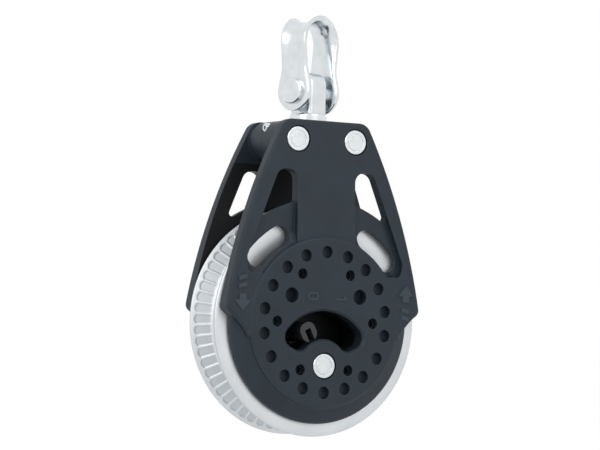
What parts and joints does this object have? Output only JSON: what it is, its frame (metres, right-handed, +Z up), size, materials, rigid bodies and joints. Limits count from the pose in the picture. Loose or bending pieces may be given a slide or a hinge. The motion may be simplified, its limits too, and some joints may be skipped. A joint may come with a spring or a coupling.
{
  "type": "single sheave block",
  "caption": "Single swivel block with a shackle, two open cheeks and one fluted sheave on ball bearings, with a ratchet that a lever in the cheek switches on or off.",
  "frame": {"origin": "centre of the sheave, on its axle and midway between the cheeks", "axes": "+Z up to the shackle; +Y along the axle from the front cheek, which has the switch window, to the rear cheek; +X to the right of the front cheek"},
  "size_m": [0.075, 0.0308, 0.1396],
  "materials": {
    "glass_filled_nylon": "moulded glass-filled nylon, fine satin",
    "anodised_aluminium": "bead-blasted, clear anodised",
    "polished_stainless": "polished stainless steel",
    "race_aluminium": "turned, hard anodised",
    "acetal": "moulded acetal",
    "hardened_steel": "ground, hardened",
    "switch_nylon": "moulded nylon, dark grey"
  },
  "bodies": {
    "shackle": {"shackle_bow": "polished_stainless", "shackle_pin": "polished_stainless"},
    "swivel": {"swivel_post": "polished_stainless"},
    "block": {"front_cheek": "glass_filled_nylon", "rear_cheek": "glass_filled_nylon", "thrust_washer": "acetal", "top_rivet_left": "polished_stainless", "top_rivet_right": "polished_stainless", "lower_rivet": "polished_stainless", "hub_front": "glass_filled_nylon", "hub_rear": "glass_filled_nylon", "hub_dowels": "hardened_steel", "pawl_pins": "hardened_steel", "pawl_springs": "hardened_steel", "inner_race_front": "race_aluminium", "inner_race_rear": "race_aluminium"},
    "lock_screw": {"lock_screw": "polished_stainless"},
    "sheave": {"sheave": "anodised_aluminium", "ratchet_ring": "hardened_steel", "outer_race_front": "race_aluminium", "outer_race_rear": "race_aluminium"},
    "bearing_front": {"balls_front": "acetal", "ball_cage_front": "acetal"},
    "bearing_rear": {"balls_rear": "acetal", "ball_cage_rear": "acetal"},
    "switch": {"switch_lever": "switch_nylon"},
    "pawl_left": {"pawl_left": "hardened_steel"},
    "pawl_right": {"pawl_right": "hardened_steel"}
  },
  "joints": [
    {"name": "shackle_tilt", "type": "hinge", "parent": "shackle", "child": "swivel", "pos_m": [0, 0, 0.076], "axis": [0.9205, 0.3907, 0], "range_deg": [-90, 90]},
    {"name": "swivel_turn", "type": "hinge", "parent": "swivel", "child": "block", "pos_m": [0, 0, 0.0634], "axis": [0, 0, 1], "continuous": true},
    {"name": "lock_screw_in", "type": "slide", "parent": "block", "child": "lock_screw", "axis": [1, 0, 0], "range_m": [0, 0.0011]},
    {"name": "sheave_spin", "type": "hinge", "parent": "block", "child": "sheave", "pos_m": [0, 0, 0], "axis": [0, 1, 0], "continuous": true},
    {"name": "bearing_front_roll", "type": "hinge", "parent": "block", "child": "bearing_front", "pos_m": [0, 0, 0], "axis": [0, 1, 0], "continuous": true},
    {"name": "bearing_rear_roll", "type": "hinge", "parent": "block", "child": "bearing_rear", "pos_m": [0, 0, 0], "axis": [0, 1, 0], "continuous": true},
    {"name": "switch_turn", "type": "hinge", "parent": "block", "child": "switch", "pos_m": [0, 0, -0.01419], "axis": [0, 1, 0], "range_deg": [0, 54]},
    {"name": "pawl_left_swing", "type": "hinge", "parent": "block", "child": "pawl_left", "pos_m": [-0.00898, 0, -0.01556], "axis": [0, 1, 0], "range_deg": [0, 12]},
    {"name": "pawl_right_swing", "type": "hinge", "parent": "block", "child": "pawl_right", "pos_m": [0.00898, 0, -0.01556], "axis": [0, 1, 0], "range_deg": [0, 12]}
  ],
  "couplings": [
    {"joint": "bearing_front_roll", "follows": "sheave_spin", "ratio": 0.5498},
    {"joint": "bearing_rear_roll", "follows": "sheave_spin", "ratio": 0.5498},
    {"joint": "pawl_left_swing", "follows": "switch_turn", "ratio": 0.22222},
    {"joint": "pawl_right_swing", "follows": "switch_turn", "ratio": 0.22222}
  ]
}
